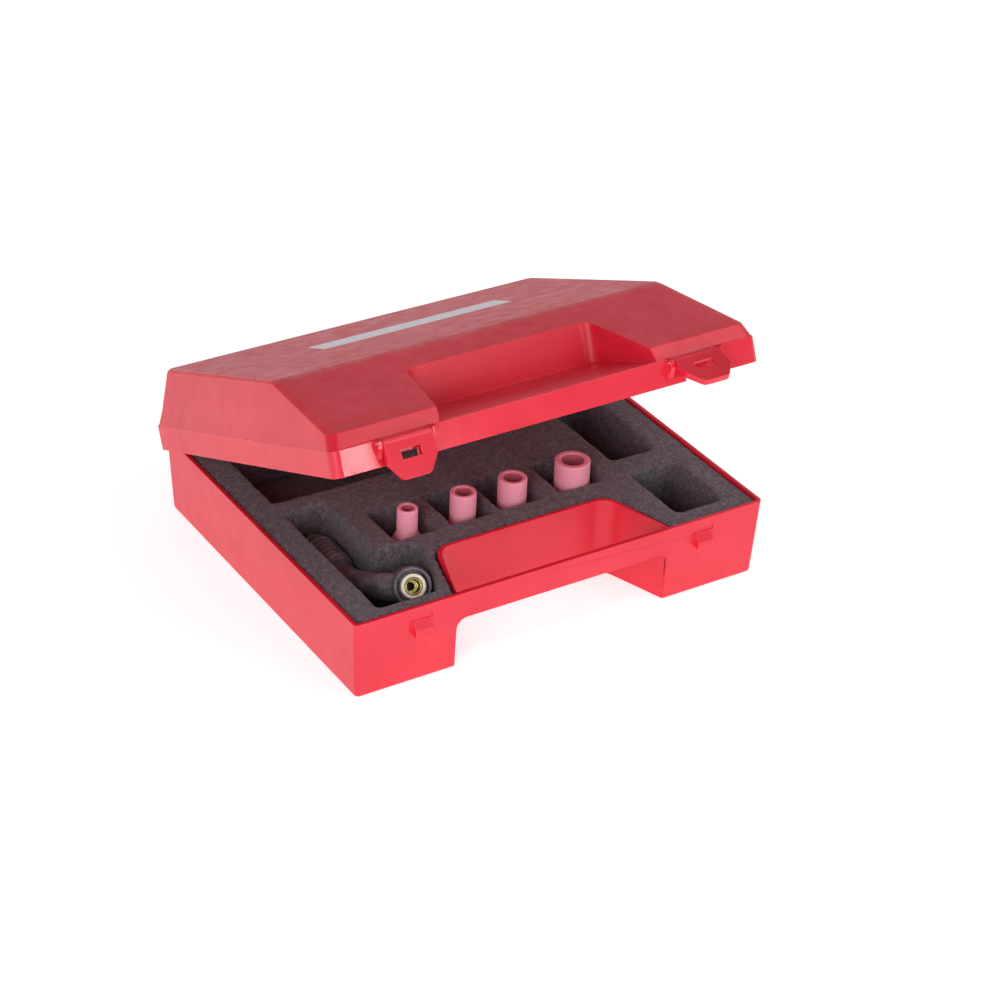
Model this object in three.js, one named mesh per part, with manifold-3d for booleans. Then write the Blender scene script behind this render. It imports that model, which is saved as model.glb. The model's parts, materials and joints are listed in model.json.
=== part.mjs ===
// A TIG torch kit: a red moulded carry case with a foam insert, a torch head and four gas cups.
// Millimetres. X runs along the hinge, -Y is the handle side, +Y the hinge side, +Z up.
// The origin is the middle of the tub's underside.
// The lid is drawn shut, then turned to where it rests half open.
import * as THREE from "three";
import { mergeVertices } from "three/addons/utils/BufferGeometryUtils.js";
import Module from "manifold-3d";

const wasm = await Module();
wasm.setup();

const GAP = 0.35; // clearance between neighbouring pieces

// ---- the tub ----
const TUB_X = 122.8; // half width at the rim
const TUB_Y = 104.9; // half depth at the rim
const TUB_H = 45;
const TUB_DRAFT = 2; // how much narrower each side is at the floor
const WALL = 2.2;
const TUB_CORNER_R = 2.8;
const EDGE_R = 1.8; // rounding of the tub's lower edge

// ---- the lid, measured up from its own lower edge ----
const OVERLAP = 11.4; // how far the lid's skirt reaches down over the tub
const SKIRT = 1.9; // skirt thickness
const LID_X = TUB_X + GAP + SKIRT;
const LID_Y = TUB_Y + GAP + SKIRT;
const LID_Z = TUB_H - OVERLAP; // height of the lid's lower edge when shut
const BAND_H = 13.9; // lower rim band
const KNEE_H = 20.8; // where the front slope starts
const LID_H = 42.8;
const BAND_STEP = 0.6; // the rim band stands this far proud
const LID_CORNER_R = 5;
const LID_WALL = 2;
const KNEE_INSET = { side: 2.8, front: 4.2, rear: 3 };
const TOP_INSET = 8.2;
const RIDGE_Y = -39.5; // where the front slope meets the flat top
const TOP_EDGE = 1.4; // chamfer round the flat top

// ---- hand hole in the tub, and the recess above it in the lid ----
const TUB_HAND = { frontHalf: 64, backHalf: 50.5, back: -63.5, cornerR: 7 };
const LID_HAND = { frontHalf: 64.5, backHalf: 54.5, back: -60, cornerR: 6 };
const STRIP_Z = 29.5; // underside of the tub's handle strip
const STRIP_T = 2.5;
const STRIP_FLANGE = { depth: 6.5, t: 2 };
const NOTCH_R = 6;

// ---- lid hinge ----
const HINGE_Y = LID_Y + 3.75;
const HINGE_Z = LID_Z - 0.6;
const HINGE_R = 3;
const HINGE_PIN_R = 1.2;
const HINGE_AT = 80; // distance of each hinge from the middle
const KNUCKLE_TUB = 16;
const KNUCKLE_LID = 8;
const PIN_PROUD = 0.8; // how far a hinge pin stands out of its knuckles
const LID_OPEN = 23.5; // degrees open at rest

// ---- latches ----
const LATCH_AT = 85;
const LATCH_HALF = 13.5;
const LATCH_T = 3.4;
const LATCH_TOP = 11.4; // heights are measured like the lid's
const LATCH_BOTTOM = -8.4;
const LATCH_SHOULDER = 0.5; // below this the flap narrows
const LATCH_TIP_HALF = 5.4;
const LATCH_CHAMFER = { x: 3.4, z: 2, round: 2.2 };
const LATCH_BACK_Y = -LID_Y - GAP;
const LATCH_AXIS_Y = LATCH_BACK_Y - 1.8;
const LATCH_AXIS_Z = 11.9;
const LATCH_BARREL_R = 1.8;
const LATCH_PIN_R = 0.8;
const LATCH_PIN_GAP = 0.3;
const LATCH_SIDES = [
  { word: "left", side: -1, tilt: 12 }, // tilt: degrees the flap stands off the lid at rest
  { word: "right", side: 1, tilt: 55 },
];
const EAR_T = 2.6;
const WINDOW = { half: 5.6, low: 1.4, high: 6.2 };
const POCKET = { half: 7.6, low: -5.7, high: 8.2, depth: 2 };
const SKIRT_NOTCH = { half: 6.4, high: 4.6 }; // lets the catch nub into the lid's skirt

// ---- catch nubs on the tub ----
const NUB_HALF = 4.8;
const NUB_LOW = 28.6;
const NUB_HIGH = 36.5;
const NUB_OUT = 3.4;
const NUB_HOLLOW = { half: 6.4, low: 36.8, high: 39.8, depth: 1 }; // finger hollow above each nub

// ---- stripe on the lid ----
const STRIPE = { left: -56, right: 60, front: 24, back: 44, sink: 0.25, t: 0.5 };

// ---- foam ----
const FOAM_TOP = 44.2;
const PAD_LOW = WALL + GAP;
const PAD_TOP = 7.2;
const FOAM_LOW = PAD_TOP + GAP;
const FOAM_CLEAR = 0.6;
const FOAM_LEFT = -104; // left edge of the left pockets
const LONG_POCKET = { right: -80, front: -94, back: 5 };
const REAR_LEFT_POCKET = { left: FOAM_LEFT, right: -26, front: 16, back: 88 };
const REAR_RIGHT_POCKET = { left: 76, right: 104, front: -31, back: 38 };
const RIGHT_POCKET = { left: 77, right: 106, front: -92, back: -46 };
const SLOT_FRONT = -45.5;
const SLOT_BACK = -14;

// ---- gas cups ----
const CUP_L = 47;
const CUP_Y = -34.6;
const CUP_SHOULDER = 24.5; // where the wide base ends and the cone begins
const CUP_FLARE = 0.49; // the cone's loss of radius per mm of height
const CUP_THREAD = { r: 7.4, depth: 13 };
const CUP_THROAT = 22; // above this the bore is straight
const CUPS = [
  { name: "gas_cup_4", x: -52.9, base: 9.6, tip: 5.5, bore: 3.2, slot: 12.8 },
  { name: "gas_cup_6", x: -19.4, base: 9.6, tip: 7, bore: 4.2, slot: 12.8 },
  { name: "gas_cup_7", x: 10.8, base: 9.6, tip: 7.8, bore: 4.9, slot: 12.8 },
  { name: "gas_cup_8", x: 48.3, base: 10.4, tip: 9.6, bore: 6, slot: 14 },
];

// ---- torch head ----
const NOSE = new THREE.Vector3(-77, -83, 41.5); // middle of the nose face
const NOSE_AIM = new THREE.Vector3(-0.28, -0.79, 0.545).normalize();
const RING = { r: 6.4, bore: 4.6, t: 2.6 };
const CORE = { r: 4.2, bore: 3.6, seat: -9, throat: 2, back: -24 };
const BARREL = { r: 10.2, nose: 8.6, front: -RING.t - GAP, back: -25 };
const CAP = { r: 8, back: -36 };
const O_RING = { r: 8.4, t: 1.6 };
const NECK_R = 7.2;
const NECK_BORE = 3.4;
const TUBE_R = 3.2;
const NECK_PATH = [
  [-73.8, -74.1, 35.2],
  [-81.4, -67.6, 33.4],
  [-85.4, -57, 29.6],
  [-90, -42, 24.5],
  [-90, -30, 24],
];
const SLEEVE = { from: -29.6, to: -4.5, r: 8.5, rib: 0.7, ribs: 6 };
const INLET = { to: 1.5, nutFrom: -4, nutTo: 0.5, nutR: 6.6 };

// ---- materials ----
function paint(color, roughness, metalness = 0) {
  return new THREE.MeshStandardMaterial({ color, roughness, metalness });
}

// ---- solids ----
function toSolid(geometry) {
  const bare = geometry.clone();
  bare.deleteAttribute("normal");
  bare.deleteAttribute("uv");
  const welded = mergeVertices(bare, 1e-4);
  return new wasm.Manifold(
    new wasm.Mesh({
      numProp: 3,
      vertProperties: new Float32Array(welded.attributes.position.array),
      triVerts: new Uint32Array(welded.index.array),
    }),
  );
}

function toGeometry(solid) {
  const mesh = solid.getMesh();
  const geometry = new THREE.BufferGeometry();
  geometry.setAttribute("position", new THREE.BufferAttribute(new Float32Array(mesh.vertProperties), 3));
  geometry.setIndex(new THREE.BufferAttribute(new Uint32Array(mesh.triVerts), 1));
  const flat = geometry.toNonIndexed();
  flat.computeVertexNormals();
  return flat;
}

function box(x0, x1, y0, y1, z0, z1) {
  const geometry = new THREE.BoxGeometry(x1 - x0, y1 - y0, z1 - z0);
  return toSolid(geometry.translate((x0 + x1) / 2, (y0 + y1) / 2, (z0 + z1) / 2));
}

// A cylinder along X.
function rodX(x0, x1, y, z, radius, sides = 28) {
  const geometry = new THREE.CylinderGeometry(radius, radius, x1 - x0, sides);
  return geometry.rotateZ(Math.PI / 2).translate((x0 + x1) / 2, y, z);
}

// An outline in X and Y, pulled up from z0 to z1.
function prismZ(shape, z0, z1) {
  const options = { depth: z1 - z0, bevelEnabled: false, curveSegments: 6 };
  return toSolid(new THREE.ExtrudeGeometry(shape, options).translate(0, 0, z0));
}

// An outline in Y and Z, pulled along X from x0 to x1.
function prismX(points, x0, x1) {
  const shape = new THREE.Shape(points.map(([y, z]) => new THREE.Vector2(y, z)));
  const geometry = new THREE.ExtrudeGeometry(shape, { depth: x1 - x0, bevelEnabled: false });
  return toSolid(geometry.rotateX(Math.PI / 2).rotateZ(Math.PI / 2).translate(x0, 0, 0));
}

// An outline in X and Z, pulled along Y from y0 to y1.
function prismY(shape, y0, y1) {
  const options = { depth: y1 - y0, bevelEnabled: false, curveSegments: 6 };
  return toSolid(new THREE.ExtrudeGeometry(shape, options).rotateX(Math.PI / 2).translate(0, y1, 0));
}

// One level of a loft: a rectangle with rounded corners.
function level(z, halfX, front, back, radius, steps = 5) {
  const ring = [];
  const corners = [
    [halfX - radius, back - radius, 0],
    [-halfX + radius, back - radius, 1],
    [-halfX + radius, front + radius, 2],
    [halfX - radius, front + radius, 3],
  ];
  for (const [cx, cy, quarter] of corners) {
    for (let i = 0; i <= steps; i++) {
      const a = (quarter + i / steps) * (Math.PI / 2);
      ring.push([cx + radius * Math.cos(a), cy + radius * Math.sin(a), z]);
    }
  }
  return ring;
}

// A closed solid through a stack of levels, lowest first.
function loft(levels) {
  const n = levels[0].length;
  const index = [];
  for (let k = 0; k + 1 < levels.length; k++) {
    for (let i = 0; i < n; i++) {
      const j = (i + 1) % n;
      const [a, b, c, d] = [k * n + i, k * n + j, (k + 1) * n + j, (k + 1) * n + i];
      index.push(a, b, c, a, c, d);
    }
  }
  const top = (levels.length - 1) * n;
  for (let i = 1; i + 1 < n; i++) {
    index.push(0, i + 1, i);
    index.push(top, top + i, top + i + 1);
  }
  const geometry = new THREE.BufferGeometry();
  geometry.setAttribute("position", new THREE.Float32BufferAttribute(levels.flat(2), 3));
  geometry.setIndex(index);
  return toSolid(geometry);
}

function lathe(points, sides = 40) {
  return new THREE.LatheGeometry(points.map(([r, z]) => new THREE.Vector2(r, z)), sides).rotateX(Math.PI / 2);
}

// ---- shared outlines ----
// A hand hole in plan, narrower at the back, grown by a wall; the front edge is given.
function handShape(hand, grow, front) {
  const back = hand.back + grow;
  const wide = hand.frontHalf + grow;
  const narrow = hand.backHalf + grow;
  const r = hand.cornerR + grow;
  const lean = ((wide - narrow) * r) / (back - front);
  const shape = new THREE.Shape();
  shape.moveTo(-wide, front);
  shape.lineTo(wide, front);
  shape.lineTo(narrow + lean, back - r);
  shape.quadraticCurveTo(narrow, back, narrow - r, back);
  shape.lineTo(-narrow + r, back);
  shape.quadraticCurveTo(-narrow, back, -narrow - lean, back - r);
  shape.closePath();
  return shape;
}

// A level of the tub's outside, z above the floor, moved in by a wall.
function tubLevel(z, inset = 0) {
  const draft = (TUB_DRAFT * (TUB_H - z)) / TUB_H + inset;
  return level(z, TUB_X - draft, -TUB_Y + draft, TUB_Y - draft, Math.max(TUB_CORNER_R - inset, 1));
}

function tubOutside() {
  // the rounded lower edge, from the floor up to where the wall starts
  const round = [90, 60, 30, 0].map((deg) => {
    const a = THREE.MathUtils.degToRad(deg);
    return tubLevel(EDGE_R * (1 - Math.sin(a)), EDGE_R * (1 - Math.cos(a)));
  });
  return loft([...round, tubLevel(TUB_H)]);
}

// ---- tub ----
function nub(side) {
  const wall = -TUB_Y + 1;
  const face = -TUB_Y + 0.4 - NUB_OUT;
  const profile = [
    [wall, NUB_LOW],
    [wall, NUB_HIGH],
    [-TUB_Y, NUB_HIGH],
    [face, NUB_LOW + 4],
    [face, NUB_LOW],
  ];
  return prismX(profile, side * LATCH_AT - NUB_HALF, side * LATCH_AT + NUB_HALF);
}

function nubHollow(side) {
  const { half, low, high, depth } = NUB_HOLLOW;
  const x = side * LATCH_AT;
  return box(x - half, x + half, -TUB_Y - 1, -TUB_Y + depth, low, high);
}

function tubKnuckle(side) {
  const x0 = side * HINGE_AT - KNUCKLE_TUB / 2;
  const x1 = x0 + KNUCKLE_TUB;
  const arm = prismX(
    [
      [TUB_Y - 2, HINGE_Z - 9],
      [HINGE_Y, HINGE_Z - HINGE_R],
      [HINGE_Y, HINGE_Z],
      [HINGE_Y - HINGE_R, HINGE_Z + 0.2],
      [TUB_Y - 2, HINGE_Z + 0.2],
    ],
    x0,
    x1,
  );
  const barrel = toSolid(rodX(x0, x1, HINGE_Y, HINGE_Z, HINGE_R));
  return arm.add(barrel);
}

function tubShell() {
  const outside = tubOutside();
  const cavity = loft([tubLevel(WALL, WALL), tubLevel(TUB_H + 1, WALL)]);
  const strip = -TUB_Y + STRIP_T;
  const front = -TUB_Y - 5;
  let shell = outside.subtract(cavity);
  shell = shell.add(prismZ(handShape(TUB_HAND, WALL, front), 0, TUB_H).intersect(outside));
  shell = shell.subtract(prismZ(handShape(TUB_HAND, 0, strip), -1, TUB_H + 1));
  shell = shell.subtract(frontNotch());
  const { depth, t } = STRIP_FLANGE;
  const flange = box(-TUB_X, TUB_X, strip - 1, strip + depth, STRIP_Z, STRIP_Z + t);
  shell = shell.add(flange.intersect(prismZ(handShape(TUB_HAND, 1, -TUB_Y), 0, TUB_H)));
  for (const side of [-1, 1]) {
    shell = shell.add(nub(side)).subtract(nubHollow(side));
    shell = shell.add(tubKnuckle(side)).subtract(hingeBore(side, HINGE_Z));
  }
  return shell;
}

// The hole for a hinge pin, longer than all the knuckles that it runs through.
function hingeBore(side, z) {
  const reach = KNUCKLE_TUB / 2 + KNUCKLE_LID + 5;
  const x = side * HINGE_AT;
  return toSolid(rodX(x - reach, x + reach, HINGE_Y, z, HINGE_PIN_R + GAP));
}

// The opening under the handle strip, with rounded upper corners.
function frontNotch() {
  const w = TUB_HAND.frontHalf;
  const shape = new THREE.Shape();
  shape.moveTo(-w, -1);
  shape.lineTo(w, -1);
  shape.lineTo(w, STRIP_Z - NOTCH_R);
  shape.absarc(w - NOTCH_R, STRIP_Z - NOTCH_R, NOTCH_R, 0, Math.PI / 2, false);
  shape.lineTo(-w + NOTCH_R, STRIP_Z);
  shape.absarc(-w + NOTCH_R, STRIP_Z - NOTCH_R, NOTCH_R, Math.PI / 2, Math.PI, false);
  shape.closePath();
  return prismY(shape, -TUB_Y - 5, -TUB_Y + STRIP_T + 1);
}

// ---- lid (drawn shut, z measured from its lower edge) ----
function lidOutside() {
  const { side, front, rear } = KNEE_INSET;
  const top = TOP_INSET + TOP_EDGE;
  const r = LID_CORNER_R;
  return loft([
    level(0, LID_X, -LID_Y, LID_Y, r),
    level(BAND_H - 0.5, LID_X, -LID_Y, LID_Y, r),
    level(BAND_H, LID_X - BAND_STEP, -LID_Y + BAND_STEP, LID_Y - BAND_STEP, r),
    level(KNEE_H, LID_X - side, -LID_Y + front, LID_Y - rear, r),
    level(LID_H - TOP_EDGE, LID_X - TOP_INSET, RIDGE_Y - 2 * TOP_EDGE, LID_Y - TOP_INSET, r),
    level(LID_H, LID_X - top, RIDGE_Y + TOP_EDGE, LID_Y - top, r - 1),
  ]);
}

function lidInside() {
  const shoulder = OVERLAP + GAP;
  const { side, front, rear } = KNEE_INSET;
  const w = LID_WALL;
  const skirtR = LID_CORNER_R - SKIRT;
  const r = LID_CORNER_R - w;
  return loft([
    level(-1, LID_X - SKIRT, -LID_Y + SKIRT, LID_Y - SKIRT, skirtR),
    level(shoulder, LID_X - SKIRT, -LID_Y + SKIRT, LID_Y - SKIRT, skirtR),
    level(KNEE_H - w / 2, LID_X - side - w, -LID_Y + front + w, LID_Y - rear - w, r),
    level(LID_H - w, LID_X - TOP_INSET - w, RIDGE_Y + w / 2, LID_Y - TOP_INSET - w, r),
  ]);
}

function lidKnuckles(side) {
  const middle = side * HINGE_AT;
  const z = HINGE_Z - LID_Z;
  const start = KNUCKLE_TUB / 2 + GAP;
  let both = null;
  for (const end of [-1, 1]) {
    const near = middle + end * start;
    const far = middle + end * (start + KNUCKLE_LID);
    const [x0, x1] = [Math.min(near, far), Math.max(near, far)];
    const arm = prismX(
      [
        [LID_Y - 1, 0.6],
        [HINGE_Y - HINGE_R, z],
        [HINGE_Y, z],
        [HINGE_Y, z + HINGE_R],
        [LID_Y - 1, z + 9],
      ],
      x0,
      x1,
    );
    const knuckle = arm.add(toSolid(rodX(x0, x1, HINGE_Y, z, HINGE_R)));
    both = both ? both.add(knuckle) : knuckle;
  }
  return both;
}

// The two ears that carry a latch's pin.
function latchEars(side) {
  const half = LATCH_HALF + GAP;
  let ears = null;
  for (const end of [-1, 1]) {
    const near = side * LATCH_AT + end * half;
    const far = near + end * EAR_T;
    const [x0, x1] = [Math.min(near, far), Math.max(near, far)];
    const ear = prismX(
      [
        [-LID_Y + 1, BAND_H],
        [-LID_Y + 1, 4],
        [-LID_Y, 4],
        [LATCH_BACK_Y - LATCH_T, LATCH_AXIS_Z - 2.6],
        [LATCH_BACK_Y - LATCH_T, LATCH_AXIS_Z + 1.2],
        [LATCH_BACK_Y - LATCH_T + 1, BAND_H - 0.2],
      ],
      x0,
      x1,
    );
    ears = ears ? ears.add(ear) : ear;
  }
  return ears;
}

// The hand recess has a floor level with the top of the rim band, and is open at the front.
function lidShell() {
  const outside = lidOutside();
  const front = -LID_Y - 5;
  let shell = outside.subtract(lidInside());
  const recessWalls = prismZ(handShape(LID_HAND, LID_WALL, front), BAND_H - LID_WALL, LID_H);
  shell = shell.add(recessWalls.intersect(outside));
  shell = shell.subtract(prismZ(handShape(LID_HAND, 0, front), BAND_H, LID_H + 1));
  for (const side of [-1, 1]) {
    const x = side * LATCH_AT;
    const { half, high } = SKIRT_NOTCH;
    shell = shell.subtract(box(x - half, x + half, -LID_Y - 2, -LID_Y + SKIRT + 1, -1, high));
    shell = shell.add(latchEars(side)).subtract(latchPinHole(x));
    shell = shell.add(lidKnuckles(side)).subtract(hingeBore(side, HINGE_Z - LID_Z));
  }
  return shell.subtract(stripeSolid(0, 1));
}

function latchPinHole(x) {
  const reach = LATCH_HALF + EAR_T + 2;
  return toSolid(rodX(x - reach, x + reach, LATCH_AXIS_Y, LATCH_AXIS_Z, LATCH_PIN_R + LATCH_PIN_GAP, 20));
}

// The stripe's plate, or with rise the shallow seat that it lies in.
function stripeSolid(gap, rise = 0) {
  const { left, right, front, back, sink, t } = STRIPE;
  const low = LID_H - sink - (rise ? GAP : 0);
  return box(left + gap, right - gap, front + gap, back - gap, low, low + t + rise);
}

// ---- latch flap, drawn hanging straight down ----
function latchFlap() {
  const tip = LATCH_TIP_HALF;
  const { x: dx, z: dz, round } = LATCH_CHAMFER;
  const shape = new THREE.Shape();
  shape.moveTo(-tip, LATCH_BOTTOM);
  shape.lineTo(tip, LATCH_BOTTOM);
  shape.quadraticCurveTo(tip + round, LATCH_BOTTOM, tip + dx, LATCH_BOTTOM + dz);
  shape.lineTo(LATCH_HALF, LATCH_SHOULDER);
  shape.lineTo(LATCH_HALF, LATCH_TOP);
  shape.lineTo(-LATCH_HALF, LATCH_TOP);
  shape.lineTo(-LATCH_HALF, LATCH_SHOULDER);
  shape.lineTo(-tip - dx, LATCH_BOTTOM + dz);
  shape.quadraticCurveTo(-tip - round, LATCH_BOTTOM, -tip, LATCH_BOTTOM);
  const back = LATCH_BACK_Y;
  const front = back - LATCH_T;
  const { half, low, high, depth } = POCKET;
  let flap = prismY(shape, front, back);
  flap = flap.add(toSolid(rodX(-LATCH_HALF, LATCH_HALF, LATCH_AXIS_Y, LATCH_AXIS_Z, LATCH_BARREL_R)));
  flap = flap.subtract(box(-half, half, back - depth, back + 1, low, high));
  flap = flap.subtract(box(-WINDOW.half, WINDOW.half, front - 1, back + 1, WINDOW.low, WINDOW.high));
  return flap.subtract(latchPinHole(0));
}

// ---- foam ----
function foamLevel(z) {
  return tubLevel(z, WALL + FOAM_CLEAR);
}

function pocketBlock({ left, right, front, back }) {
  return box(left, right, front, back, 0, TUB_H + 5);
}

function torchBay() {
  const shape = new THREE.Shape();
  shape.moveTo(FOAM_LEFT, LONG_POCKET.front);
  shape.lineTo(-69.5, LONG_POCKET.front);
  shape.lineTo(-65, -84);
  shape.lineTo(-58.2, -59.5);
  shape.lineTo(-60, -50);
  shape.lineTo(LONG_POCKET.right, -48);
  shape.lineTo(LONG_POCKET.right, LONG_POCKET.back);
  shape.lineTo(FOAM_LEFT, LONG_POCKET.back);
  shape.closePath();
  return prismZ(shape, 0, TUB_H + 5);
}

function foamInsert() {
  const keepOut = prismZ(handShape(TUB_HAND, WALL + FOAM_CLEAR, -TUB_Y - 5), 0, TUB_H + 5);
  let foam = loft([foamLevel(FOAM_LOW), foamLevel(FOAM_TOP)]).subtract(keepOut).subtract(torchBay());
  for (const pocket of [REAR_LEFT_POCKET, REAR_RIGHT_POCKET, RIGHT_POCKET]) {
    foam = foam.subtract(pocketBlock(pocket));
  }
  for (const cup of CUPS) {
    const slot = { left: cup.x - cup.slot, right: cup.x + cup.slot, front: SLOT_FRONT, back: SLOT_BACK };
    foam = foam.subtract(pocketBlock(slot));
  }
  return foam;
}

function foamPad() {
  const keepOut = prismZ(handShape(TUB_HAND, WALL + FOAM_CLEAR, -TUB_Y - 5), 0, TUB_H);
  return loft([foamLevel(PAD_LOW), foamLevel(PAD_TOP)]).subtract(keepOut);
}

// ---- gas cups, standing on their threaded ends ----
function gasCup({ base, tip, bore, x }) {
  const thread = CUP_THREAD;
  const profile = [
    [thread.r, 0],
    [base - 0.5, 0],
    [base, 0.8],
    [base, CUP_SHOULDER],
    [tip, CUP_SHOULDER + (base - tip) / CUP_FLARE],
    [tip, CUP_L - 0.8],
    [tip - 0.7, CUP_L],
    [bore + 0.8, CUP_L],
    [bore, CUP_L - 0.8],
    [bore, CUP_THROAT],
    [thread.r, thread.depth],
    [thread.r, 0],
  ];
  return lathe(profile).translate(x, CUP_Y, PAD_TOP + GAP);
}

// ---- torch head ----
// Turns a piece drawn round Z, nose at z = 0 and back below, to where the nose points.
function aimed(geometry) {
  const turn = new THREE.Quaternion().setFromUnitVectors(new THREE.Vector3(0, 0, 1), NOSE_AIM);
  return geometry.applyQuaternion(turn).translate(NOSE.x, NOSE.y, NOSE.z);
}

function ringProfile(r0, r1, z0, z1, edge) {
  return [
    [r0, z0],
    [r1 - edge, z0],
    [r1, z0 + edge],
    [r1, z1 - edge],
    [r1 - edge, z1],
    [r0, z1],
    [r0, z0],
  ];
}

function neckPath() {
  return new THREE.CatmullRomCurve3(NECK_PATH.map((p) => new THREE.Vector3(...p)));
}

function swept(radius, path, steps) {
  const circle = new THREE.Shape().absarc(0, 0, radius, 0, Math.PI * 2, false);
  const options = { steps, bevelEnabled: false, extrudePath: path, curveSegments: 14 };
  return new THREE.ExtrudeGeometry(circle, options);
}

function boreProfile(r, z0, z1) {
  return [
    [0, z0],
    [r, z0],
    [r, z1],
    [0, z1],
  ];
}

function torchBody() {
  const barrel = [
    [0, BARREL.back],
    [BARREL.r - 1, BARREL.back],
    [BARREL.r, BARREL.back + 1.2],
    [BARREL.r, BARREL.front - 4],
    [BARREL.nose, BARREL.front],
    [0, BARREL.front],
  ];
  let body = toSolid(aimed(lathe(barrel))).add(toSolid(swept(NECK_R, neckPath(), 16)));
  body = body.subtract(toSolid(swept(NECK_BORE, neckPath(), 16)));
  return body.subtract(toSolid(aimed(lathe(boreProfile(CORE.r + GAP, BARREL.back - 5, 5)))));
}

// The brass core: a wide threaded mouth, then a narrow throat.
function torchCore() {
  const { r, bore, seat, throat, back } = CORE;
  const front = -0.6;
  return aimed(
    lathe([
      [throat, back],
      [r, back],
      [r, front],
      [bore, front],
      [bore, seat],
      [throat, seat],
      [throat, back],
    ]),
  );
}

function torchRing() {
  return aimed(lathe(ringProfile(RING.bore, RING.r, -RING.t, 0, 0.6)));
}

function capRing() {
  const z = BARREL.back - GAP;
  return aimed(lathe(ringProfile(4, O_RING.r, z - O_RING.t, z, 0.7)));
}

function torchCap() {
  const top = BARREL.back - 2 * GAP - O_RING.t;
  const profile = [
    [0, CAP.back],
    [CAP.r - 3, CAP.back],
    [CAP.r - 1.2, CAP.back + 1.4],
    [CAP.r, top - 4],
    [CAP.r, top],
    [0, top],
  ];
  return aimed(lathe(profile));
}

// The grip end of the neck lies along Y.
function alongY(geometry) {
  const [x, , z] = NECK_PATH.at(-1);
  return geometry.rotateX(-Math.PI / 2).translate(x, 0, z);
}

function neckSleeve() {
  const { from, to, r, rib, ribs } = SLEEVE;
  const pitch = (to - from - 4) / ribs;
  const outline = [[TUBE_R + GAP, from], [r - 1, from], [r, from + 1]];
  for (let i = 0; i < ribs; i++) {
    const y = from + 2 + i * pitch;
    outline.push([r, y], [r + rib, y + pitch * 0.25], [r + rib, y + pitch * 0.55], [r, y + pitch * 0.8]);
  }
  outline.push([r - 0.6, to], [TUBE_R + GAP, to], [TUBE_R + GAP, from]);
  return alongY(lathe(outline, 32));
}

function inletTube() {
  return alongY(lathe(ringProfile(TUBE_R - 1.2, TUBE_R, SLEEVE.from - 0.5, INLET.to, 0.3), 28));
}

function inletNut() {
  const { nutR, nutFrom, nutTo } = INLET;
  const hexagon = alongY(lathe(boreProfile(nutR, nutFrom, nutTo), 6));
  const bore = alongY(lathe(boreProfile(TUBE_R + GAP, nutFrom - 1, nutTo + 1)));
  return toGeometry(toSolid(hexagon).subtract(toSolid(bore)));
}

// ---- pins ----
function pin(x, half, y, z, radius) {
  return rodX(x - half, x + half, y, z, radius, 20);
}

// ---- assembly ----
const group = new THREE.Group();

function place(name, geometry, material) {
  const mesh = new THREE.Mesh(geometry, material);
  mesh.name = name;
  group.add(mesh);
}

// Moves a piece drawn with the lid shut to where the half-open lid carries it.
function onLid(geometry) {
  geometry.translate(0, -HINGE_Y, LID_Z - HINGE_Z);
  geometry.rotateX(-THREE.MathUtils.degToRad(LID_OPEN));
  return geometry.translate(0, HINGE_Y, HINGE_Z);
}

// Swings a latch outward round its own pin.
function tilted(geometry, degrees) {
  geometry.translate(0, -LATCH_AXIS_Y, -LATCH_AXIS_Z);
  geometry.rotateX(-THREE.MathUtils.degToRad(degrees));
  return geometry.translate(0, LATCH_AXIS_Y, LATCH_AXIS_Z);
}

const red = () => paint(0xd0202f, 0.35);
const charcoal = () => paint(0x2b2b2e, 0.95);
const pink = () => paint(0xe08aa0, 0.6);
const rubber = () => paint(0x17171a, 0.75);
const brass = () => paint(0xc9a24a, 0.3, 1);
const steel = () => paint(0x9a9a9c, 0.35, 1);

place("case_tub", toGeometry(tubShell()), red());
place("case_lid", onLid(toGeometry(lidShell())), red());
place("lid_stripe", onLid(toGeometry(stripeSolid(GAP))), paint(0xd8d4da, 0.5));
place("foam_insert", toGeometry(foamInsert()), charcoal());
place("foam_pad", toGeometry(foamPad()), charcoal());

for (const { word, side, tilt } of LATCH_SIDES) {
  const hingeReach = KNUCKLE_TUB / 2 + GAP + KNUCKLE_LID + PIN_PROUD;
  const latchReach = LATCH_HALF + EAR_T + 0.6;
  const x = side * LATCH_AT;
  place(`hinge_pin_${word}`, pin(side * HINGE_AT, hingeReach, HINGE_Y, HINGE_Z, HINGE_PIN_R), steel());
  place(`latch_${word}`, onLid(tilted(toGeometry(latchFlap()), tilt).translate(x, 0, 0)), red());
  place(`latch_pin_${word}`, onLid(pin(x, latchReach, LATCH_AXIS_Y, LATCH_AXIS_Z, LATCH_PIN_R)), steel());
}

for (const cup of CUPS) {
  place(cup.name, gasCup(cup), pink());
}

place("torch_body", toGeometry(torchBody()), rubber());
place("torch_core", torchCore(), brass());
place("torch_gasket", torchRing(), paint(0xefe6c8, 0.5));
place("torch_cap", torchCap(), rubber());
place("torch_cap_ring", capRing(), rubber());
place("torch_sleeve", neckSleeve(), rubber());
place("torch_inlet_tube", inletTube(), brass());
place("torch_inlet_nut", inletNut(), brass());

export default group;
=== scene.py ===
"""A red moulded carry case, its lid half open, with a TIG torch head and four gas cups in cut foam.

Lengths in this file are in millimetres unless a name or comment says metres. The frame is in metres:
X runs along the hinge, -Y is the handle side, +Z is up, and the origin is the middle of the tub's
underside.
"""
import json
import math

import bmesh
import bpy
from mathutils import Matrix, Vector, noise
from mathutils.bvhtree import BVHTree


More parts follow.
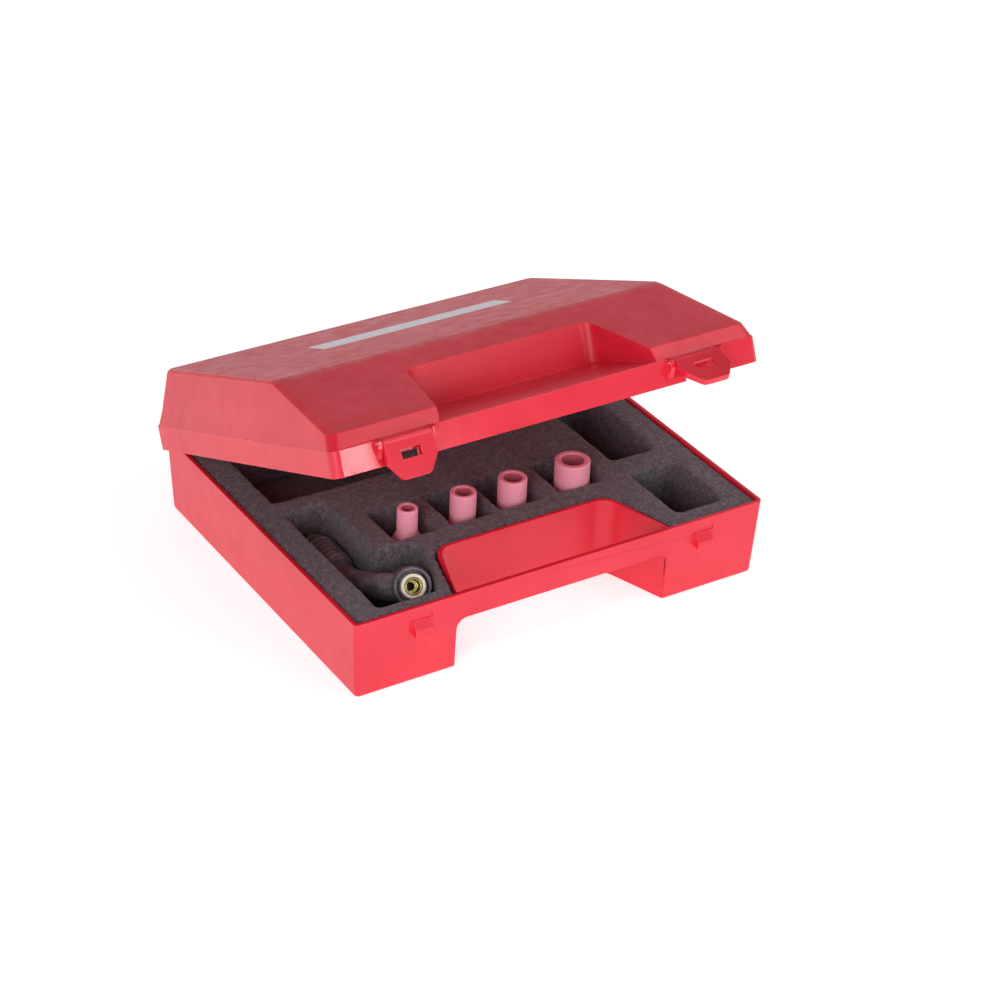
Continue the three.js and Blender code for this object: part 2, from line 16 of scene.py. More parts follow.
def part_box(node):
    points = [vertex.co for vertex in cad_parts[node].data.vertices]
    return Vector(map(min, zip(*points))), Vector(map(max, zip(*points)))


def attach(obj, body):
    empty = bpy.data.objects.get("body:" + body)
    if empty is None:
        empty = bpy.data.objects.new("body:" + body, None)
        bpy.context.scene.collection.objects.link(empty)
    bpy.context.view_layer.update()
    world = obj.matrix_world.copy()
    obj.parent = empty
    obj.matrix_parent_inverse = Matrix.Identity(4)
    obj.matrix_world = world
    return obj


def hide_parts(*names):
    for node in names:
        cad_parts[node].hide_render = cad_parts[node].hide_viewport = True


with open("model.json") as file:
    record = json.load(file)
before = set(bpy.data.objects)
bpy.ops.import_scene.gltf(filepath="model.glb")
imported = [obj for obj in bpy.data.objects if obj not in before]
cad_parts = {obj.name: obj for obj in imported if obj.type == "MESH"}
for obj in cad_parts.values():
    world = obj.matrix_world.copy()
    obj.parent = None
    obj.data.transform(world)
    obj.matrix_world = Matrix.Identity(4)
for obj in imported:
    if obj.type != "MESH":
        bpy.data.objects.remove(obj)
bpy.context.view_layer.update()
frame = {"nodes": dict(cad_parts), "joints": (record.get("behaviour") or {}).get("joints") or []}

MM = 0.001

# Camera: degrees, then metres, then millimetres of focal length on a 36 mm sensor.
CAMERA_AZIMUTH = -32.92
CAMERA_ELEVATION = 31.61
CAMERA_ROLL = 2.33
CAMERA_DISTANCE = 1.497
CAMERA_AIM = Vector((0.02442, -0.00225, 0.01849))
CAMERA_LENS = 99.51

# Lid: heights on it are measured from its lower edge with the lid shut.
LID_EDGE_Z = 33.6
BAND_H = 13.9
KNEE_H = 20.8

# Latch flaps: the raised rim round each one's face.
LATCH_RIM = 0.9
LATCH_DISH = 0.25

# How far the hard edges are rounded.
SHELL_ROUND = 0.26
LATCH_ROUND = 0.22
NUT_ROUND = 0.4

# Grain of the remeshed pieces, and the foam's rumpling as (size, height) of each wave.
FOAM_VOXEL = 1.9
FOAM_WAVES = [(22, 0.35), (5, 0.28), (2.2, 0.22)]
RUBBER_VOXEL = 0.42

# Gas cups: tip radius and bore radius. Above the shoulder the cone loses CUP_FLARE of radius per mm.
CUPS = {"4": (5.5, 3.2), "6": (7.0, 4.2), "7": (7.8, 4.9), "8": (9.6, 6.0)}
CUP_LENGTH = 47
CUP_SHOULDER = 24.5
CUP_FLARE = 0.49
CUP_THROAT = 22
CUP_THREAD_DEPTH = 13
CUP_THREAD_ROOT = 7.4
CUP_THREAD_CREST = 7.0
CUP_THREAD_PITCH = 1.8
CUP_SOFTNESS = 1.1

# Torch head: the nose's aim, and the middle of the rubber neck from the barrel to the grip.
NOSE_AIM = Vector((-0.28, -0.79, 0.545)).normalized()
GASKET_T = 2.6
CORE_BORE = 2.0
CORE_PITCH = 0.9
NECK_R = 6.95
NECK_FLARE = 2.2
RIB_PITCH = 3.5
RIB_COUNT = 6
NECK_PATH = [
    (-73.8, -74.1, 35.2),
    (-81.4, -67.6, 33.4),
    (-85.4, -57, 29.6),
    (-90, -42, 24.5),
    (-90, -30, 24),
]


# ---- mesh tools ----
def from_cad(node, join_flats=True):
    """A CAD node's shape, its triangles welded and, if asked, its flat faces joined up."""
    source = frame["nodes"][node].data
    shape = bmesh.new()
    points = [shape.verts.new(v.co) for v in source.vertices]
    for polygon in source.polygons:
        shape.faces.new([points[i] for i in polygon.vertices])
    bmesh.ops.remove_doubles(shape, verts=shape.verts, dist=0.005 * MM)
    if join_flats:
        bmesh.ops.dissolve_limit(
            shape, angle_limit=math.radians(0.6), verts=shape.verts, edges=shape.edges
        )
    bmesh.ops.recalc_face_normals(shape, faces=shape.faces)
    return shape


def to_mesh(shape, name):
    """A mesh from a bmesh, which it uses up."""
    mesh = bpy.data.meshes.new(name)
    shape.to_mesh(mesh)
    shape.free()
    return mesh


def baked(mesh, kind, settings):
    """The mesh after one modifier of this kind, with these settings."""
    work = bpy.data.objects.new("work", mesh)
    bpy.context.scene.collection.objects.link(work)
    modifier = work.modifiers.new(kind, kind)
    for setting, value in settings.items():
        setattr(modifier, setting, value)
    graph = bpy.context.evaluated_depsgraph_get()
    result = bpy.data.meshes.new_from_object(work.evaluated_get(graph))
    bpy.data.objects.remove(work)
    return result


def toward(corner, other, distance):
    """The step from a corner towards another point: distance, or just under half way if that is nearer."""
    side = other - corner
    return side.normalized() * min(distance, 0.45 * side.length)


def softened(points, radius, steps=4):
    """A closed outline with each corner rounded."""
    result = []
    for i, corner in enumerate(points):
        before, after = Vector(points[i - 1]), Vector(points[(i + 1) % len(points)])
        corner = Vector(corner)
        start = corner + toward(corner, before, radius)
        end = corner + toward(corner, after, radius)
        for k in range(steps + 1):
            t = k / steps
            result.append(start * (1 - t) ** 2 + corner * 2 * t * (1 - t) + end * t**2)
    return result


def skin(rings, closed):
    """Faces between rings of points, each ring round and of equal length."""
    shape = bmesh.new()
    rows = [[shape.verts.new(p) for p in ring] for ring in rings]
    pairs = list(zip(rows, rows[1:] + rows[:1])) if closed else list(zip(rows, rows[1:]))
    for a, b in pairs:
        for i in range(len(a)):
            j = (i + 1) % len(a)
            shape.faces.new((a[i], a[j], b[j], b[i]))
    if not closed:
        shape.faces.new(rows[0])
        shape.faces.new(rows[-1])
    bmesh.ops.recalc_face_normals(shape, faces=shape.faces)
    return shape


def lathe(outline, place, sides=96, flutes=None):
    """Turns a closed outline of (radius, height) in mm about Z, then puts it at place.

    flutes(radius, height, angle) may change a radius.
    """
    rings = []
    for radius, height in outline:
        ring = []
        for i in range(sides):
            angle = 2 * math.pi * i / sides
            r = flutes(radius, height, angle) if flutes else radius
            ring.append(place @ (Vector((r * math.cos(angle), r * math.sin(angle), height)) * MM))
        rings.append(ring)
    return skin(rings, closed=True)


def curve_points(path, steps):
    """Points in metres along a smooth curve through the path's points, which are in mm."""
    points = [Vector(p) * MM for p in path]
    points = [2 * points[0] - points[1], *points, 2 * points[-1] - points[-2]]
    result = []
    for i in range(1, len(points) - 2):
        a, b, c, d = points[i - 1 : i + 3]
        for k in range(steps):
            t = k / steps
            square = (2 * a - 5 * b + 4 * c - d) * t**2
            cube = (3 * b - a - 3 * c + d) * t**3
            result.append(0.5 * (2 * b + (c - a) * t + square + cube))
    return [*result, points[-2]]


def sweep(points, radius_at, sides=64):
    """A tube along points in metres. radius_at(share of the way, angle) gives its radius in metres."""
    rings = []
    side = Vector((1, 0, 0))
    for i, point in enumerate(points):
        along = (points[min(i + 1, len(points) - 1)] - points[max(i - 1, 0)]).normalized()
        side = (side - along * side.dot(along)).normalized()
        up = along.cross(side)
        ring = []
        for k in range(sides):
            angle = 2 * math.pi * k / sides
            out = side * math.cos(angle) + up * math.sin(angle)
            ring.append(point + out * radius_at(i / (len(points) - 1), angle))
        rings.append(ring)
    return skin(rings, closed=False)


def relax(shape, times):
    """Evens out the surface, each vertex moving half way to the middle of its neighbours."""
    for _ in range(times):
        bmesh.ops.smooth_vert(
            shape, verts=shape.verts, factor=0.5, use_axis_x=True, use_axis_y=True, use_axis_z=True
        )


def rumple(shape, waves):
    """Moves each vertex along its normal by smooth noise. Each wave is (size, height)."""
    shape.normal_update()
    for vertex in shape.verts:
        vertex.co += vertex.normal * sum(
            noise.noise(vertex.co / (size * MM)) * height * MM for size, height in waves
        )


# ---- materials ----
class Look:
    """A material in the making: one shader, and the textures that its maker feeds to it."""

    def __init__(self, name, **values):
        self.material = bpy.data.materials.new(name)
        self.material.use_nodes = True
        self.nodes = self.material.node_tree.nodes
        self.links = self.material.node_tree.links
        self.shader = self.nodes["Principled BSDF"]
        self.place = self.nodes.new("ShaderNodeTexCoord").outputs["Object"]
        for socket, value in values.items():
            self.shader.inputs[socket.replace("_", " ")].default_value = value

    def feed(self, socket, value):
        """Links a texture to a socket, or sets the socket to a plain value."""
        if isinstance(value, bpy.types.NodeSocket):
            self.links.new(value, socket)
        else:
            socket.default_value = value

    def add(self, kind, inputs, **settings):
        """A new node with these settings, its inputs fed by name."""
        node = self.nodes.new(kind)
        for setting, value in settings.items():
            setattr(node, setting, value)
        for key, value in inputs.items():
            self.feed(node.inputs[key], value)
        return node

    def noise(self, size, detail=3, stretch=(1, 1, 1)):
        """Smooth noise from 0 to 1 whose blotches are about size millimetres."""
        place = self.add("ShaderNodeMapping", {"Vector": self.place, "Scale": stretch}).outputs[0]
        inputs = {"Vector": place, "Scale": 1 / (size * MM), "Detail": detail, "Roughness": 0.55}
        return self.add("ShaderNodeTexNoise", inputs).outputs["Fac"]

    def cells(self, size):
        """Distance from the middle of round cells of about size millimetres."""
        inputs = {"Vector": self.place, "Scale": 1 / (size * MM)}
        return self.add("ShaderNodeTexVoronoi", inputs).outputs["Distance"]

    def span(self, value, low, high, start=0.3, end=0.7):
        """A texture's values from start to end, spread over low to high."""
        inputs = {"Value": value, "From Min": start, "From Max": end, "To Min": low, "To Max": high}
        return self.add("ShaderNodeMapRange", inputs).outputs[0]

    def mix(self, share, first, second):
        node = self.add("ShaderNodeMix", {}, data_type="RGBA")
        self.feed(node.inputs["Factor"], share)
        colours = [s for s in node.inputs if s.type == "RGBA"]
        self.feed(colours[0], first)
        self.feed(colours[1], second)
        return next(s for s in node.outputs if s.type == "RGBA")

    def colour(self, value):
        self.feed(self.shader.inputs["Base Color"], value)

    def roughness(self, value):
        self.feed(self.shader.inputs["Roughness"], value)

    def bump(self, *layers):
        """Stacked bumps, each (height texture, depth in mm)."""
        below = None
        for height, depth in layers:
            inputs = {"Height": height, "Distance": depth * MM, "Strength": 1.0}
            if below is not None:
                inputs["Normal"] = below
            below = self.add("ShaderNodeBump", inputs).outputs[0]
        self.links.new(below, self.shader.inputs["Normal"])


def rgb(r, g, b):
    return (r, g, b, 1)


def red_plastic(name, grain, low_rough, high_rough, light=1.0):
    """Injection-moulded polypropylene: faint flow marks, a moulded grain and uneven gloss."""
    look = Look(name, IOR=1.49)
    # A light above 1.0 lifts the whole colour; the rounded edges use it as a painted highlight.
    deep = rgb(0.66 * light, 0.009 * light, 0.030 * light)
    bright = rgb(0.74 * light, 0.020 * light, 0.045 * light)
    look.colour(look.mix(look.span(look.noise(34, 4), 0, 1), deep, bright))
    look.roughness(look.span(look.noise(9, 5), low_rough, high_rough))
    look.bump((look.noise(0.9, 4), 0.02 + 0.09 * grain), (look.noise(14, 2), 0.10))
    return look.material


def foam():
    """Closed-cell charcoal foam: small pale cell walls round dark pores, with coarser mottling."""
    look = Look("foam_charcoal", Sheen_Weight=0.15, Sheen_Roughness=0.6)
    blotches = look.span(look.noise(3.2, 4), 0, 1)
    mottle = look.mix(blotches, rgb(0.075, 0.058, 0.072), rgb(0.200, 0.160, 0.186))
    pores = look.span(look.cells(1.1), 0, 1, 0.15, 0.75)
    look.colour(look.mix(pores, rgb(0.050, 0.038, 0.047), mottle))
    look.roughness(look.span(look.noise(4), 0.86, 1.0))
    look.bump((look.cells(1.1), 0.35), (look.noise(0.5, 3), 0.12), (look.noise(5, 3), 0.3))
    return look.material


def ceramic(name, low, high):
    """Fired pink alumina: chalky, finely speckled, a little light passes into it."""
    look = Look(name, Subsurface_Weight=0.12, Subsurface_Scale=0.001, IOR=1.6)
    speckle = look.span(look.noise(0.7, 4), 0, 1, 0.35, 0.65)
    look.colour(look.mix(speckle, low, high))
    look.roughness(look.span(look.noise(3), 0.42, 0.6))
    look.bump((look.noise(0.35, 3), 0.02), (look.noise(6, 2), 0.05))
    return look.material


def rubber():
    """Moulded black rubber with a fine grain, dusty in patches."""
    look = Look("torch_rubber", Specular_IOR_Level=0.45)
    dust = look.span(look.noise(7, 5), 0, 1, 0.45, 0.75)
    look.colour(look.mix(dust, rgb(0.105, 0.090, 0.105), rgb(0.225, 0.195, 0.225)))
    look.roughness(look.span(look.noise(4, 4), 0.38, 0.62))
    look.bump((look.noise(0.45, 3), 0.04), (look.noise(5, 3), 0.15))
    return look.material


def metal(name, low, high, rough_low, rough_high, scratch):
    """Turned metal: fine lines round the work, tarnish in patches."""
    look = Look(name, Metallic=1.0)
    look.colour(look.mix(look.span(look.noise(2.5, 4), 0, 1), low, high))
    look.roughness(look.span(look.noise(1.2, 4), rough_low, rough_high))
    look.bump((look.noise(0.35, 2, stretch=scratch), 0.015))
    return look.material


def gasket():
    """Creamy white fluoropolymer, slightly waxy."""
    look = Look("gasket_cream", Subsurface_Weight=0.2, Subsurface_Scale=0.001)
    clouds = look.span(look.noise(1.5, 3), 0, 1)
    look.colour(look.mix(clouds, rgb(0.80, 0.70, 0.50), rgb(0.92, 0.86, 0.70)))
    look.roughness(look.span(look.noise(1), 0.3, 0.45))
    look.bump((look.noise(0.5), 0.02))
    return look.material


def film():
    """A plain pale printed stripe, thin enough for the lid's colour to tint it where it has worn."""
    look = Look("stripe_pale")
    worn = look.span(look.noise(1.6, 6), 0, 1, 0.60, 0.72)
    look.colour(look.mix(worn, rgb(0.80, 0.73, 0.78), rgb(0.66, 0.40, 0.45)))
    look.roughness(look.span(look.noise(5), 0.35, 0.55))
    look.bump((look.noise(0.9, 4), 0.05))
    return look.material


RED_SMOOTH = red_plastic("case_red_smooth", grain=0.15, low_rough=0.30, high_rough=0.40)
RED_GLOSS = red_plastic("case_red_gloss", grain=0.0, low_rough=0.10, high_rough=0.15)
RED_GRAIN = red_plastic("case_red_grain", grain=1.0, low_rough=0.40, high_rough=0.56)
# Painted highlight: the rounded edges take a red 18% lighter (light=1.18), standing in for the highlights
# that run along them.
RED_EDGE_HIGHLIGHT = red_plastic("case_red_edge_highlight", grain=0.1, low_rough=0.24, high_rough=0.34, light=1.18)
FOAM = foam()
CERAMIC = ceramic("cup_ceramic", rgb(0.90, 0.30, 0.40), rgb(0.98, 0.41, 0.52))
# Painted shade: the bores take a much darker red than the outside, standing in for the shade inside them.
CERAMIC_BORE_SHADE = ceramic("cup_ceramic_bore_shade", rgb(0.50, 0.09, 0.14), rgb(0.62, 0.14, 0.19))
RUBBER = rubber()
BRASS = metal("brass", rgb(0.66, 0.52, 0.16), rgb(0.86, 0.74, 0.34), 0.18, 0.34, (1, 1, 12))
STEEL = metal("pin_steel", rgb(0.50, 0.50, 0.51), rgb(0.70, 0.70, 0.71), 0.2, 0.35, (14, 1, 1))
GASKET = gasket()
STRIPE = film()


# ---- pieces ----
def set_materials(mesh, materials):
    """Gives the mesh these materials in this order, and leaves its faces' slots as they are."""
    slots = [polygon.material_index for polygon in mesh.polygons]
    mesh.materials.clear()
    for material in materials:
        mesh.materials.append(material)
    for polygon, slot in zip(mesh.polygons, slots):
        polygon.material_index = slot


def add_piece(name, mesh, body, materials, nodes):
    """Puts a finished mesh in the scene, with its materials, CAD body and the CAD nodes it stands for."""
    piece = bpy.data.objects.new(name, mesh)
    bpy.context.scene.collection.objects.link(piece)
    set_materials(mesh, materials)
    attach(piece, body)
    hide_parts(*nodes)
    return piece


def smooth(mesh, degrees):
    """Smooth shading, with hard lines where faces meet at more than so many degrees."""
    mesh.shade_smooth()
    mesh.set_sharp_from_angle(angle=math.radians(degrees))


def round_edges(mesh, width, material=-1):
    """A copy with the hard edges rounded; material is the slot that the rounding takes."""
    mesh.shade_smooth()
    settings = {
        "width": width * MM,
        "segments": 2,
        "limit_method": "ANGLE",
        "angle_limit": math.radians(32),
        "use_clamp_overlap": False,
        "material": material,
    }
    rounded = baked(mesh, "BEVEL", settings)
    corners = [list(polygon.vertices) for polygon in mesh.polygons]
    before = BVHTree.FromPolygons([vertex.co for vertex in mesh.vertices], corners)
    for vertex in rounded.vertices:
        nearest, _, _, distance = before.find_nearest(vertex.co)
        if distance > width * MM:
            vertex.co = nearest
    return rounded


def keep_flats_flat(piece):
    """Takes the shading at the rounded edges from the large faces beside them."""
    piece.modifiers.new("flat faces stay flat", "WEIGHTED_NORMAL")


def paint_faces(mesh, index, wanted):
    """Gives a material slot to the faces for which wanted(middle, normal) holds, in metres."""
    for polygon in mesh.polygons:
        if wanted(polygon.center, polygon.normal):
            polygon.material_index = index


def joint(name):
    """A joint of the frame, by its name."""
    return next(j for j in frame["joints"] if j["name"] == name)


def turned(point, degrees):
    """A turn about a line through point along -X, as the lid and latch joints turn."""
    at = Matrix.Translation(Vector(point))
    return at @ Matrix.Rotation(math.radians(-degrees), 4, "X") @ at.inverted()


def lid_place():
    """From the shut lid's own frame, heights from its lower edge, to the half-open lid."""
    hinge = joint("lid_hinge")
    return turned(hinge["pos_m"], -hinge["range_deg"][0]) @ Matrix.Translation((0, 0, LID_EDGE_Z * MM))


def tub():
    """The tub, with a grained underside and floor."""
    mesh = to_mesh(from_cad("case_tub", join_flats=False), "tub_shell")
    reds = [RED_SMOOTH, RED_GRAIN, RED_EDGE_HIGHLIGHT]
    set_materials(mesh, reds)

    def is_floor(middle, normal):
        return normal.z < -0.9 or (normal.z > 0.9 and middle.z < 5 * MM)

    paint_faces(mesh, 1, is_floor)
    # The rounding takes the lighter red, a painted highlight along the edges.
    mesh = round_edges(mesh, SHELL_ROUND, material=2)
    keep_flats_flat(add_piece("tub_shell", mesh, "base", reds, ["case_tub"]))


def lid():
    """The lid, with a grained top and a glossy band along its front."""
    mesh = to_mesh(from_cad("case_lid", join_flats=False), "lid_shell")
    reds = [RED_SMOOTH, RED_GRAIN, RED_EDGE_HIGHLIGHT, RED_GLOSS]
    set_materials(mesh, reds)
    back = lid_place().inverted()

    def is_top(middle, normal):
        at, facing = back @ middle, back.to_3x3() @ normal
        return facing.z > 0.5 and at.z > KNEE_H * MM

    def is_band(middle, normal):
        at, facing = back @ middle, back.to_3x3() @ normal
        return facing.y < -0.9 and at.z < BAND_H * MM

    paint_faces(mesh, 1, is_top)
    paint_faces(mesh, 3, is_band)
    # The rounding takes the lighter red, a painted highlight along the edges.
    mesh = round_edges(mesh, SHELL_ROUND, material=2)
    keep_flats_flat(add_piece("lid_shell", mesh, "lid", reds, ["case_lid"]))


def latch(word):
    """The flap keeps its CAD shape and gets a dished face inside a raised rim."""
    tilt = -joint(f"latch_{word}_hinge")["range_deg"][0] - joint("lid_hinge")["range_deg"][0]
    place = turned(joint("lid_hinge")["pos_m"], tilt)
    out = place.to_3x3() @ Vector((0, -1, 0))
    shape = from_cad(f"latch_{word}")
    faces = [f for f in shape.faces if f.normal.dot(out) > 0.999]
    reach = max(f.calc_center_median().dot(out) for f in faces)
    front = [f for f in faces if f.calc_center_median().dot(out) > reach - 0.4 * MM]
    bmesh.ops.inset_region(
        shape, faces=front, thickness=LATCH_RIM * MM, depth=-LATCH_DISH * MM, use_even_offset=True
    )
    mesh = to_mesh(shape, f"latch_flap_{word}")
    reds = [RED_SMOOTH, RED_EDGE_HIGHLIGHT]
    set_materials(mesh, reds)
    # The rounding takes the lighter red, a painted highlight along the edges.
    mesh = round_edges(mesh, LATCH_ROUND, material=1)
    keep_flats_flat(
        add_piece(f"latch_flap_{word}", mesh, f"latch_{word}", reds, [f"latch_{word}"])
    )


def pin(name, node, body):
    """A drawn wire pin with rounded ends, lying along X."""
    low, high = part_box(node)
    middle, radius = (low + high) / 2, (high.z - low.z) / 2 / MM
    half = (high.x - low.x) / 2 / MM
    outline = softened([(0.02, -half), (radius, -half), (radius, half), (0.02, half)], radius * 0.5)
    place = Matrix.Translation(middle) @ Matrix.Rotation(math.pi / 2, 4, "Y")
    mesh = to_mesh(lathe(outline, place, sides=32), name)
    smooth(mesh, 40)
    add_piece(name, mesh, body, [STEEL], [node])


def foam_block(name, node):
    """Cut foam: softened edges and an uneven, porous surface."""
    grain = {"mode": "VOXEL", "voxel_size": FOAM_VOXEL * MM}
    mesh = baked(to_mesh(from_cad(node), name), "REMESH", grain)
    shape = bmesh.new()
    shape.from_mesh(mesh)
    relax(shape, 2)
    rumple(shape, FOAM_WAVES)
    mesh = to_mesh(shape, name)
    mesh.shade_smooth()
    piece = add_piece(name, mesh, "base", [FOAM], [node])


def gas_cup(number):
    """A ceramic cup standing on its threaded end."""
    tip, bore = CUPS[number]
    node = f"gas_cup_{number}"
    low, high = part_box(node)
    base = (high.x - low.x) / 2 / MM
    middle = (low + high) / 2
    outline = [
        (CUP_THREAD_CREST, 0),
        (base - 0.5, 0),
        (base, 0.8),
        (base, CUP_SHOULDER),
        (tip, CUP_SHOULDER + (base - tip) / CUP_FLARE),
        (tip, CUP_LENGTH - 0.1),
        (bore, CUP_LENGTH - 0.1),
        (bore, CUP_THROAT),
        (CUP_THREAD_ROOT, CUP_THREAD_DEPTH),
    ]
    for turn in range(6):
        top = CUP_THREAD_DEPTH - 1.4 - turn * CUP_THREAD_PITCH
        outline += [(CUP_THREAD_ROOT, top), (CUP_THREAD_CREST, top - 0.7)]
    place = Matrix.Translation((middle.x, middle.y, low.z))
    mesh = to_mesh(lathe(softened(outline, CUP_SOFTNESS, steps=5), place, sides=96), f"cup_{number}")
    smooth(mesh, 50)

    def is_bore(at, _):
        return math.hypot(at.x - middle.x, at.y - middle.y) < (bore + 0.2) * MM

    # The faces inside the bore take the darker red, painted shade.
    paint_faces(mesh, 1, is_bore)
    add_piece(f"cup_{number}", mesh, f"cup_{number}", [CERAMIC, CERAMIC_BORE_SHADE], [node])


def nose_place():
    """From a frame with the nose at height 0 and the torch behind it, to where the nose is."""
    low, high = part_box("torch_gasket")
    turn = Vector((0, 0, 1)).rotation_difference(NOSE_AIM).to_matrix().to_4x4()
    return Matrix.Translation((low + high) / 2 + NOSE_AIM * GASKET_T / 2 * MM) @ turn


def add_turned(name, outline, place, material, node, radius=0.3, sides=96, flutes=None):
    """A turned piece of the torch, its corners rounded to radius."""
    mesh = to_mesh(lathe(softened(outline, radius), place, sides, flutes), name)
    smooth(mesh, 45)
    add_piece(name, mesh, "torch", [material], [node])


def torch_body():
    """The barrel with its raised collar, and the wrinkled neck, moulded in one."""
    barrel = [
        (4.55, -24.9), (9.2, -24.9), (10.2, -23.7), (10.2, -4.6), (9.6, -2.2), (8.5, -2.0),
        (8.0, -2.9), (7.7, -5.4), (6.9, -5.4), (6.9, -2.95), (4.55, -2.95),
    ]
    points = curve_points(NECK_PATH, 22)

    def neck_radius(share, angle):
        flare = NECK_FLARE * max(0, 1 - share / 0.2) ** 2
        folds = 0.55 * noise.noise(Vector((math.cos(angle) * 3, math.sin(angle) * 3, share * 5)))
        rings = 0.05 * math.sin(share * 2 * math.pi * 17)
        return (NECK_R + flare + folds + rings) * MM

    shape = lathe(softened(barrel, 0.6), nose_place(), sides=96)
    neck = to_mesh(sweep(points, neck_radius), "neck")
    shape.from_mesh(neck)
    grain = {"mode": "VOXEL", "voxel_size": RUBBER_VOXEL * MM}
    mesh = baked(to_mesh(shape, "torch_head"), "REMESH", grain)
    shape = bmesh.new()
    shape.from_mesh(mesh)
    relax(shape, 1)
    mesh = to_mesh(shape, "torch_head")
    mesh.shade_smooth()
    add_piece("torch_head", mesh, "torch", [RUBBER], ["torch_body"])


def torch_front():
    """The threaded brass core and the gasket in the nose."""
    outline = [(CORE_BORE, -24), (4.2, -24), (4.2, -0.6), (3.7, -0.6)]
    for turn in range(9):
        z = -1.0 - turn * CORE_PITCH
        outline += [(3.35, z - 0.25), (3.75, z - 0.7)]
    outline += [(3.5, -9.4), (CORE_BORE, -9.4)]
    place = nose_place()
    add_turned("brass_core", outline, place, BRASS, "torch_core", radius=0.12)
    ring = [(4.6, -GASKET_T), (6.4, -GASKET_T), (6.4, 0), (4.6, 0)]
    add_turned("gasket_ring", ring, place, GASKET, "torch_gasket", radius=0.7)


def torch_back():
    """The back cap with its grip flutes, and the sealing ring before it."""
    place = nose_place()
    ring = [(4, -26.95), (8.4, -26.95), (8.4, -25.35), (4, -25.35)]
    add_turned("cap_seal", ring, place, RUBBER, "torch_cap_ring", radius=0.8)

    def flutes(radius, height, angle):
        if radius > 6 and -34 < height < -29:
            return radius - 0.28 * (1 + math.cos(18 * angle))
        return radius

    cap = [
        (0.05, -36), (5.2, -36), (6.8, -34.6), (7.6, -33.6), (8, -29.5), (8, -27.35), (0.05, -27.35),
    ]
    add_turned(
        "back_cap", cap, place, RUBBER, "torch_cap", radius=0.9, sides=144, flutes=flutes
    )


def grip_place():
    """From a frame along Z to the grip's axis, which lies along Y."""
    x, _, z = NECK_PATH[-1]
    return Matrix.Translation((x * MM, 0, z * MM)) @ Matrix.Rotation(-math.pi / 2, 4, "X")


def torch_grip():
    """The ribbed sleeve on the neck's end, the gas tube in it and the hexagon nut."""
    outline = [(3.55, -29.6), (8.4, -29.6)]
    for rib in range(RIB_COUNT):
        y = -27.4 + rib * RIB_PITCH
        outline += [(8.4, y), (9.2, y + 0.7), (9.2, y + 1.8), (8.4, y + 2.5)]
    outline += [(8.1, -4.5), (3.55, -4.5)]
    place = grip_place()
    add_turned("ribbed_sleeve", outline, place, RUBBER, "torch_sleeve", radius=0.5)
    tube = [(2.0, -30.1), (3.2, -30.1), (3.2, 1.4), (2.0, 1.4)]
    add_turned("gas_tube", tube, place, BRASS, "torch_inlet_tube", sides=48)
    mesh = round_edges(to_mesh(from_cad("torch_inlet_nut"), "hex_nut"), NUT_ROUND)
    keep_flats_flat(add_piece("hex_nut", mesh, "torch", [BRASS], ["torch_inlet_nut"]))


# ---- studio ----
def camera():
    """The camera, aimed at CAMERA_AIM and tilted by CAMERA_ROLL about its own line of sight."""
    azimuth, elevation, roll = (
        math.radians(v) for v in (CAMERA_AZIMUTH, CAMERA_ELEVATION, CAMERA_ROLL)
    )
    flat = math.cos(elevation)
    back = Vector((math.sin(azimuth) * flat, -math.cos(azimuth) * flat, math.sin(elevation)))
    right = Vector((math.cos(azimuth), math.sin(azimuth), 0))
    up = back.cross(right)
    across = right * math.cos(roll) + up * math.sin(roll)
    upward = up * math.cos(roll) - right * math.sin(roll)
    data = bpy.data.cameras.new("camera")
    data.lens = CAMERA_LENS
    data.sensor_width = 36
    viewer = bpy.data.objects.new("camera", data)
    bpy.context.scene.collection.objects.link(viewer)
    viewer.matrix_world = Matrix.LocRotScale(
        CAMERA_AIM + back * CAMERA_DISTANCE, Matrix((across, upward, back)).transposed(), None
    )
    bpy.context.scene.camera = viewer


def area_light(name, position, target, size, power):
    """A soft rectangular lamp, in metres and watts."""
    data = bpy.data.lights.new(name, "AREA")
    data.shape = "RECTANGLE"
    data.size, data.size_y = size
    data.energy = power
    lamp = bpy.data.objects.new(name, data)
    lamp.location = position
    lamp.rotation_euler = (Vector(position) - Vector(target)).to_track_quat("Z", "Y").to_euler()
    bpy.context.scene.collection.objects.link(lamp)


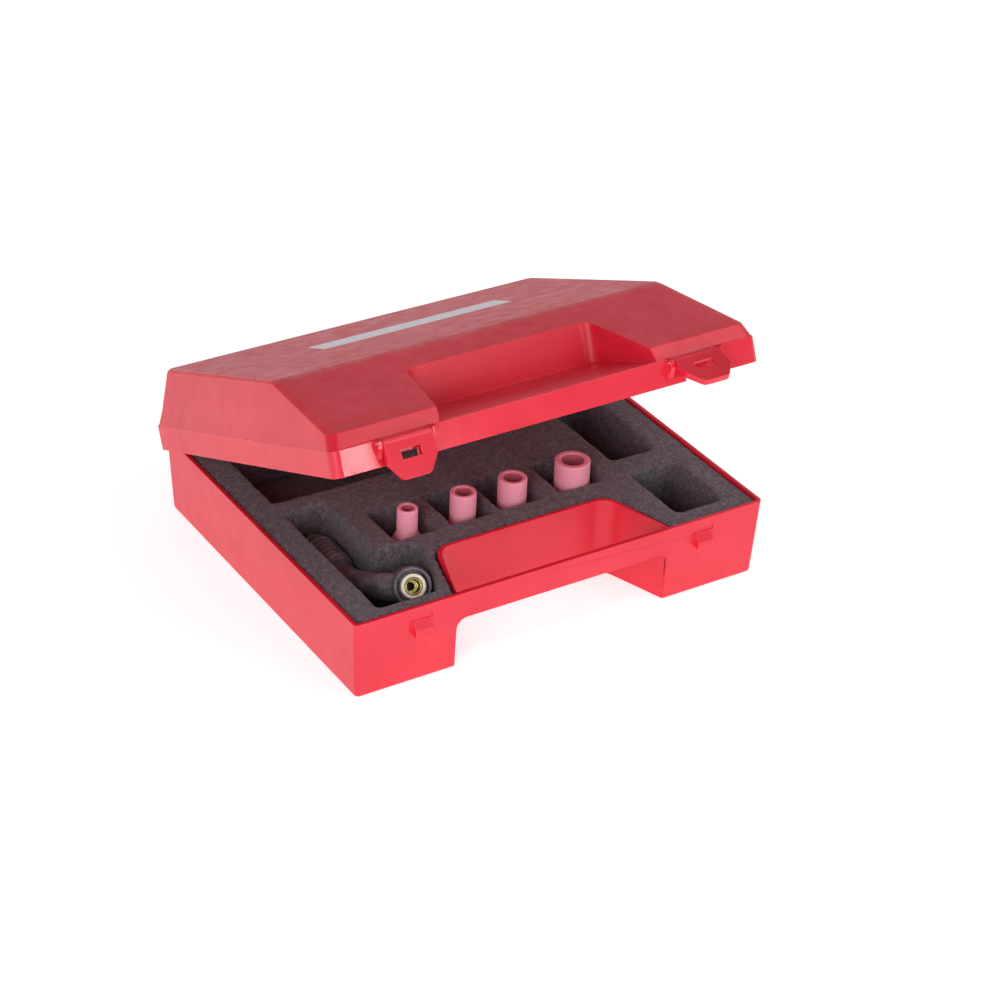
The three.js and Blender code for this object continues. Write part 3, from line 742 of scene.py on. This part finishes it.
def studio():
    """Soft light from all round, brighter low down than overhead, as inside a light tent."""
    world = bpy.data.worlds.new("studio")
    world.use_nodes = True
    nodes, links = world.node_tree.nodes, world.node_tree.links
    split = nodes.new("ShaderNodeSeparateXYZ")
    links.new(nodes.new("ShaderNodeTexCoord").outputs["Generated"], split.inputs[0])
    level = nodes.new("ShaderNodeMapRange")
    level.inputs["From Min"].default_value = 0
    level.inputs["From Max"].default_value = 0.8
    level.inputs["To Min"].default_value = 0.9
    level.inputs["To Max"].default_value = 0.22
    links.new(split.outputs["Z"], level.inputs["Value"])
    links.new(level.outputs[0], nodes["Background"].inputs["Strength"])
    nodes["Background"].inputs["Color"].default_value = (1, 1, 1, 1)
    bpy.context.scene.world = world
    area_light("key", (-1.5, -1.3, 0.9), (0, 0, 0.05), (1.2, 1.0), 17)
    area_light("overhead", (0.75, -0.62, 1.35), (0, 0, 0.1), (0.8, 0.8), 5)
    area_light("strip_wide", (0.251, -0.892, 0.236), (-0.108, -0.2, 0.1), (0.024, 0.5), 0.9)
    area_light("strip_thin", (0.318, -0.87, 0.236), (-0.08, -0.2, 0.1), (0.008, 0.5), 0.12)


def floor():
    """A pale matt sweep, lit a little from within like a light table."""
    shape = bmesh.new()
    bmesh.ops.create_grid(shape, x_segments=24, y_segments=24, size=4)
    mesh = to_mesh(shape, "floor")
    look = Look("floor_pale", Emission_Color=rgb(1, 1, 1), Emission_Strength=0.60)
    look.colour(look.mix(look.noise(300, 2), rgb(0.86, 0.86, 0.86), rgb(0.89, 0.89, 0.89)))
    look.roughness(look.span(look.noise(40), 0.75, 0.85))
    mesh.materials.append(look.material)
    ground = bpy.data.objects.new("floor", mesh)
    bpy.context.scene.collection.objects.link(ground)


camera()
studio()
floor()
bpy.context.scene.view_settings.view_transform = "Standard"

tub()
lid()
for word in ("left", "right"):
    latch(word)
    pin(f"hinge_wire_{word}", f"hinge_pin_{word}", "base")
    pin(f"latch_wire_{word}", f"latch_pin_{word}", "lid")
foam_block("foam_tray", "foam_insert")
foam_block("foam_base", "foam_pad")
for number in CUPS:
    gas_cup(number)
torch_body()
torch_front()
torch_back()
torch_grip()

stripe = frame["nodes"]["lid_stripe"]
stripe.data.materials.clear()
stripe.data.materials.append(STRIPE)
